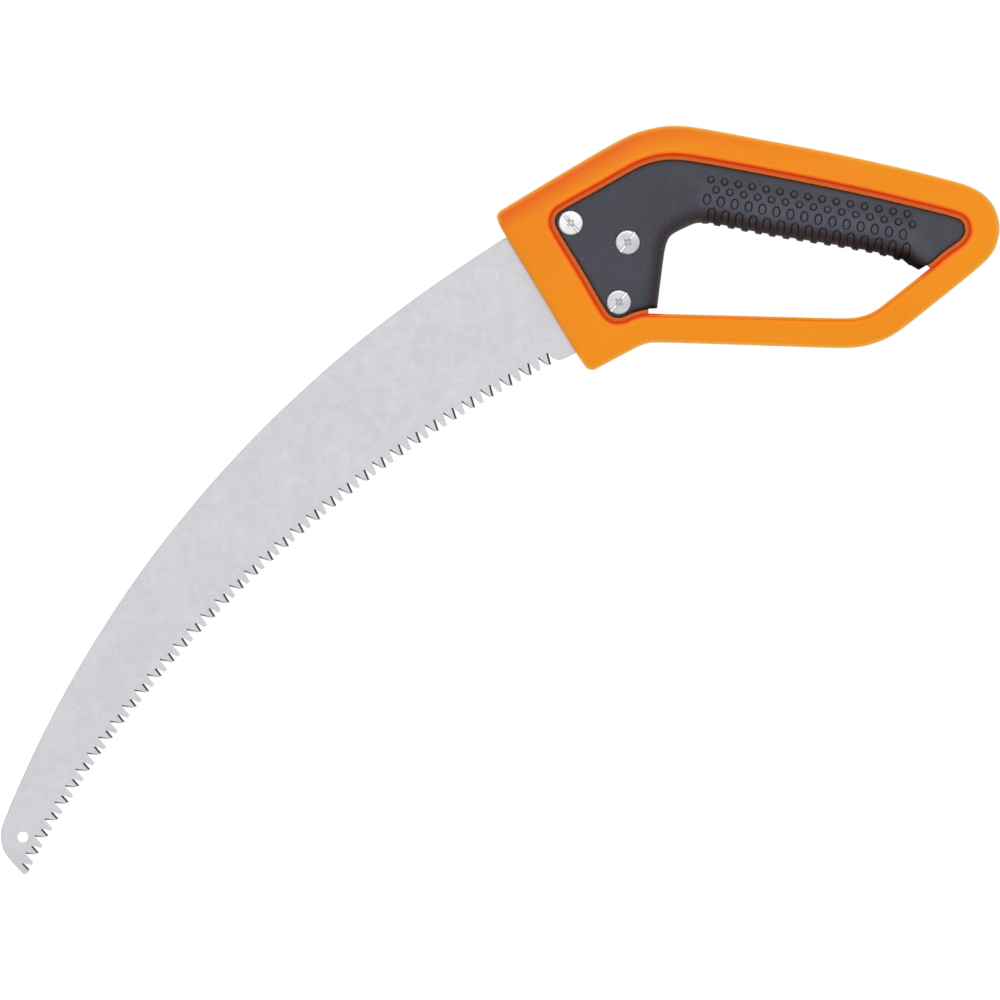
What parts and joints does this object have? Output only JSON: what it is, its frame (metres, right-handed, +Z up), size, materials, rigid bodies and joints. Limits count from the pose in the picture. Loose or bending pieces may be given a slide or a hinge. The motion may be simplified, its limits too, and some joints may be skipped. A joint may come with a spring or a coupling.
{
  "type": "pruning saw",
  "caption": "Fixed-blade pull saw for pruning: long curved tapering blade with ground triangular teeth, clamped by screws in a closed D handle with a soft textured grip.",
  "frame": {"origin": "middle of the bounding box, on the blade's mid-plane", "axes": "+X along the straight guard bar towards the back of the handle, +Z up out of the top of the grip, +Y out of the side away from the screw heads; the blade runs down towards -X and -Z"},
  "size_m": [0.4994, 0.029, 0.374],
  "materials": {
    "blade_steel": "satin ground sheet steel, faintly mottled, bright ground tooth bevels",
    "hard_handle": "moulded nylon, satin, very fine texture",
    "soft_grip": "soft overmould, matt, raised pads",
    "fastener": "bright zinc plate, lathe-turned face"
  },
  "bodies": {
    "handle_and_blade": {"saw_blade": "blade_steel", "near_shell": "hard_handle", "far_shell": "hard_handle", "near_grip_skin": "soft_grip", "far_grip_skin": "soft_grip"},
    "clamp_screw_upper": {"clamp_screw_upper": "fastener"},
    "sleeve_nut_upper": {"sleeve_nut_upper": "fastener"},
    "clamp_screw_middle": {"clamp_screw_middle": "fastener"},
    "sleeve_nut_middle": {"sleeve_nut_middle": "fastener"},
    "clamp_screw_lower": {"clamp_screw_lower": "fastener"},
    "sleeve_nut_lower": {"sleeve_nut_lower": "fastener"}
  },
  "joints": [
    {"name": "screw_upper_out", "type": "slide", "parent": "handle_and_blade", "child": "clamp_screw_upper", "axis": [0, -1, 0], "range_m": [0, 0.02]},
    {"name": "screw_middle_out", "type": "slide", "parent": "handle_and_blade", "child": "clamp_screw_middle", "axis": [0, -1, 0], "range_m": [0, 0.02]},
    {"name": "screw_lower_out", "type": "slide", "parent": "handle_and_blade", "child": "clamp_screw_lower", "axis": [0, -1, 0], "range_m": [0, 0.02]},
    {"name": "nut_upper_out", "type": "slide", "parent": "handle_and_blade", "child": "sleeve_nut_upper", "axis": [0, 1, 0], "range_m": [0, 0.018]},
    {"name": "nut_middle_out", "type": "slide", "parent": "handle_and_blade", "child": "sleeve_nut_middle", "axis": [0, 1, 0], "range_m": [0, 0.018]},
    {"name": "nut_lower_out", "type": "slide", "parent": "handle_and_blade", "child": "sleeve_nut_lower", "axis": [0, 1, 0], "range_m": [0, 0.018]}
  ]
}
